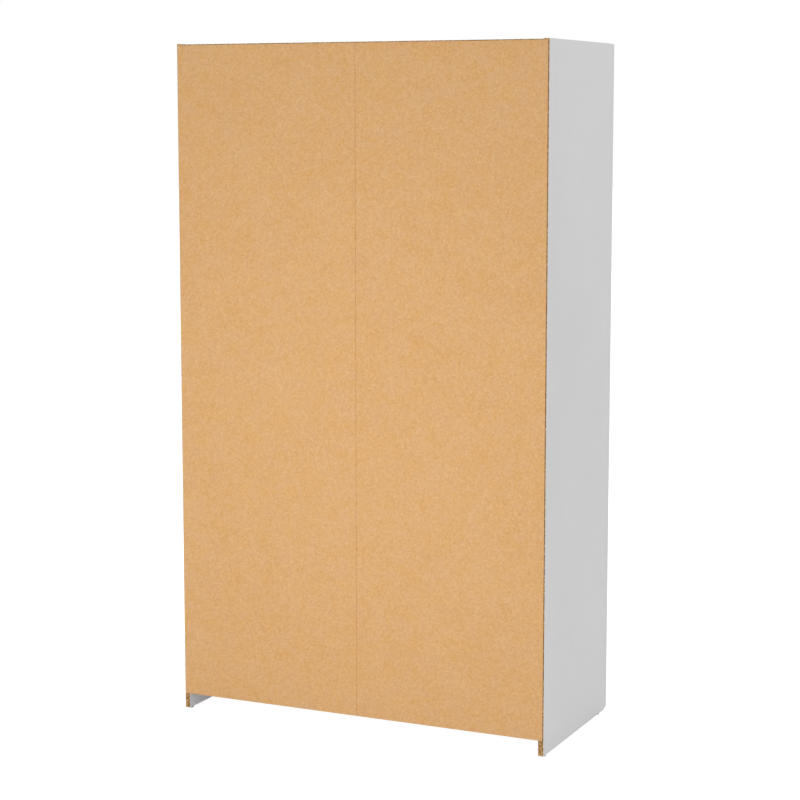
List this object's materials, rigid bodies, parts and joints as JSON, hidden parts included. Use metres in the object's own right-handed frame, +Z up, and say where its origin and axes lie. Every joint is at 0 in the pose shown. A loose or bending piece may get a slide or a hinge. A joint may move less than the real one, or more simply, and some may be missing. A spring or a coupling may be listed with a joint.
{
  "type": "wardrobe with doors",
  "caption": "Flat-pack wardrobe in white board with a folding hardboard back, hinged overlay doors, a hanging space and a shelf section.",
  "frame": {"origin": "on the floor, under the middle of the whole object's box, handles included", "axes": "+Z up, the doors face -Y, +X to the right as seen from the front"},
  "size_m": [1.05, 0.511, 1.804],
  "materials": {
    "white_board": "white melamine-faced chipboard, faintly pebbled satin; raw chipboard on the rear and lower edges",
    "hardboard": "raw tan hardboard outside, matt white paint inside",
    "fold_tape": "matt white joint tape",
    "handle_metal": "satin brushed",
    "rail_steel": "bright plated tube",
    "hinge_steel": "nickel-plated pressed steel",
    "buffer_plastic": "soft translucent self-adhesive buffer",
    "glide_plastic": "dark grey moulded plastic"
  },
  "bodies": {
    "carcass": {"side_left": "white_board", "side_right": "white_board", "top_panel": "white_board", "bottom_panel": "white_board", "plinth": "white_board", "partition": "white_board", "back_left": "hardboard", "back_right": "hardboard", "back_fold_tape": "fold_tape", "hat_shelf": "white_board", "shelf_1": "white_board", "shelf_2": "white_board", "shelf_3": "white_board", "shelf_4": "white_board", "hanging_rail": "rail_steel", "rail_socket_left": "hinge_steel", "rail_socket_right": "hinge_steel", "glide_left_front": "glide_plastic", "glide_left_rear": "glide_plastic", "glide_right_front": "glide_plastic", "glide_right_rear": "glide_plastic", "hinge_left_lower_arm": "hinge_steel", "hinge_left_centre_arm": "hinge_steel", "hinge_left_upper_arm": "hinge_steel", "hinge_middle_lower_arm": "hinge_steel", "hinge_middle_centre_arm": "hinge_steel", "hinge_middle_upper_arm": "hinge_steel", "hinge_right_lower_arm": "hinge_steel", "hinge_right_centre_arm": "hinge_steel", "hinge_right_upper_arm": "hinge_steel"},
    "door_left": {"door_left": "white_board", "handle_left": "handle_metal", "buffer_left_lower": "buffer_plastic", "buffer_left_upper": "buffer_plastic", "hinge_left_lower_cup": "hinge_steel", "hinge_left_centre_cup": "hinge_steel", "hinge_left_upper_cup": "hinge_steel"},
    "links_left": {"hinge_left_lower_link": "hinge_steel", "hinge_left_centre_link": "hinge_steel", "hinge_left_upper_link": "hinge_steel"},
    "door_middle": {"door_middle": "white_board", "handle_middle": "handle_metal", "buffer_middle_lower": "buffer_plastic", "buffer_middle_upper": "buffer_plastic", "hinge_middle_lower_cup": "hinge_steel", "hinge_middle_centre_cup": "hinge_steel", "hinge_middle_upper_cup": "hinge_steel"},
    "links_middle": {"hinge_middle_lower_link": "hinge_steel", "hinge_middle_centre_link": "hinge_steel", "hinge_middle_upper_link": "hinge_steel"},
    "door_right": {"door_right": "white_board", "handle_right": "handle_metal", "buffer_right_lower": "buffer_plastic", "buffer_right_upper": "buffer_plastic", "hinge_right_lower_cup": "hinge_steel", "hinge_right_centre_cup": "hinge_steel", "hinge_right_upper_cup": "hinge_steel"},
    "links_right": {"hinge_right_lower_link": "hinge_steel", "hinge_right_centre_link": "hinge_steel", "hinge_right_upper_link": "hinge_steel"}
  },
  "joints": [
    {"name": "door_left_swing", "type": "hinge", "parent": "carcass", "child": "door_left", "pos_m": [-0.5185, -0.2245, 0.904], "axis": [0, 0, -1], "range_deg": [0, 110]},
    {"name": "links_left_turn", "type": "hinge", "parent": "carcass", "child": "links_left", "pos_m": [-0.492, -0.2183, 0.904], "axis": [0, 0, -1], "range_deg": [-36.5, 0]},
    {"name": "door_middle_swing", "type": "hinge", "parent": "carcass", "child": "door_middle", "pos_m": [0.1675, -0.2245, 0.904], "axis": [0, 0, 1], "range_deg": [0, 110]},
    {"name": "links_middle_turn", "type": "hinge", "parent": "carcass", "child": "links_middle", "pos_m": [0.141, -0.2183, 0.904], "axis": [0, 0, 1], "range_deg": [-36.5, 0]},
    {"name": "door_right_swing", "type": "hinge", "parent": "carcass", "child": "door_right", "pos_m": [0.5185, -0.2245, 0.904], "axis": [0, 0, 1], "range_deg": [0, 110]},
    {"name": "links_right_turn", "type": "hinge", "parent": "carcass", "child": "links_right", "pos_m": [0.492, -0.2183, 0.904], "axis": [0, 0, 1], "range_deg": [-36.5, 0]}
  ],
  "couplings": [
    {"joint": "links_left_turn", "follows": "door_left_swing", "ratio": -0.33},
    {"joint": "links_middle_turn", "follows": "door_middle_swing", "ratio": -0.33},
    {"joint": "links_right_turn", "follows": "door_right_swing", "ratio": -0.33}
  ]
}
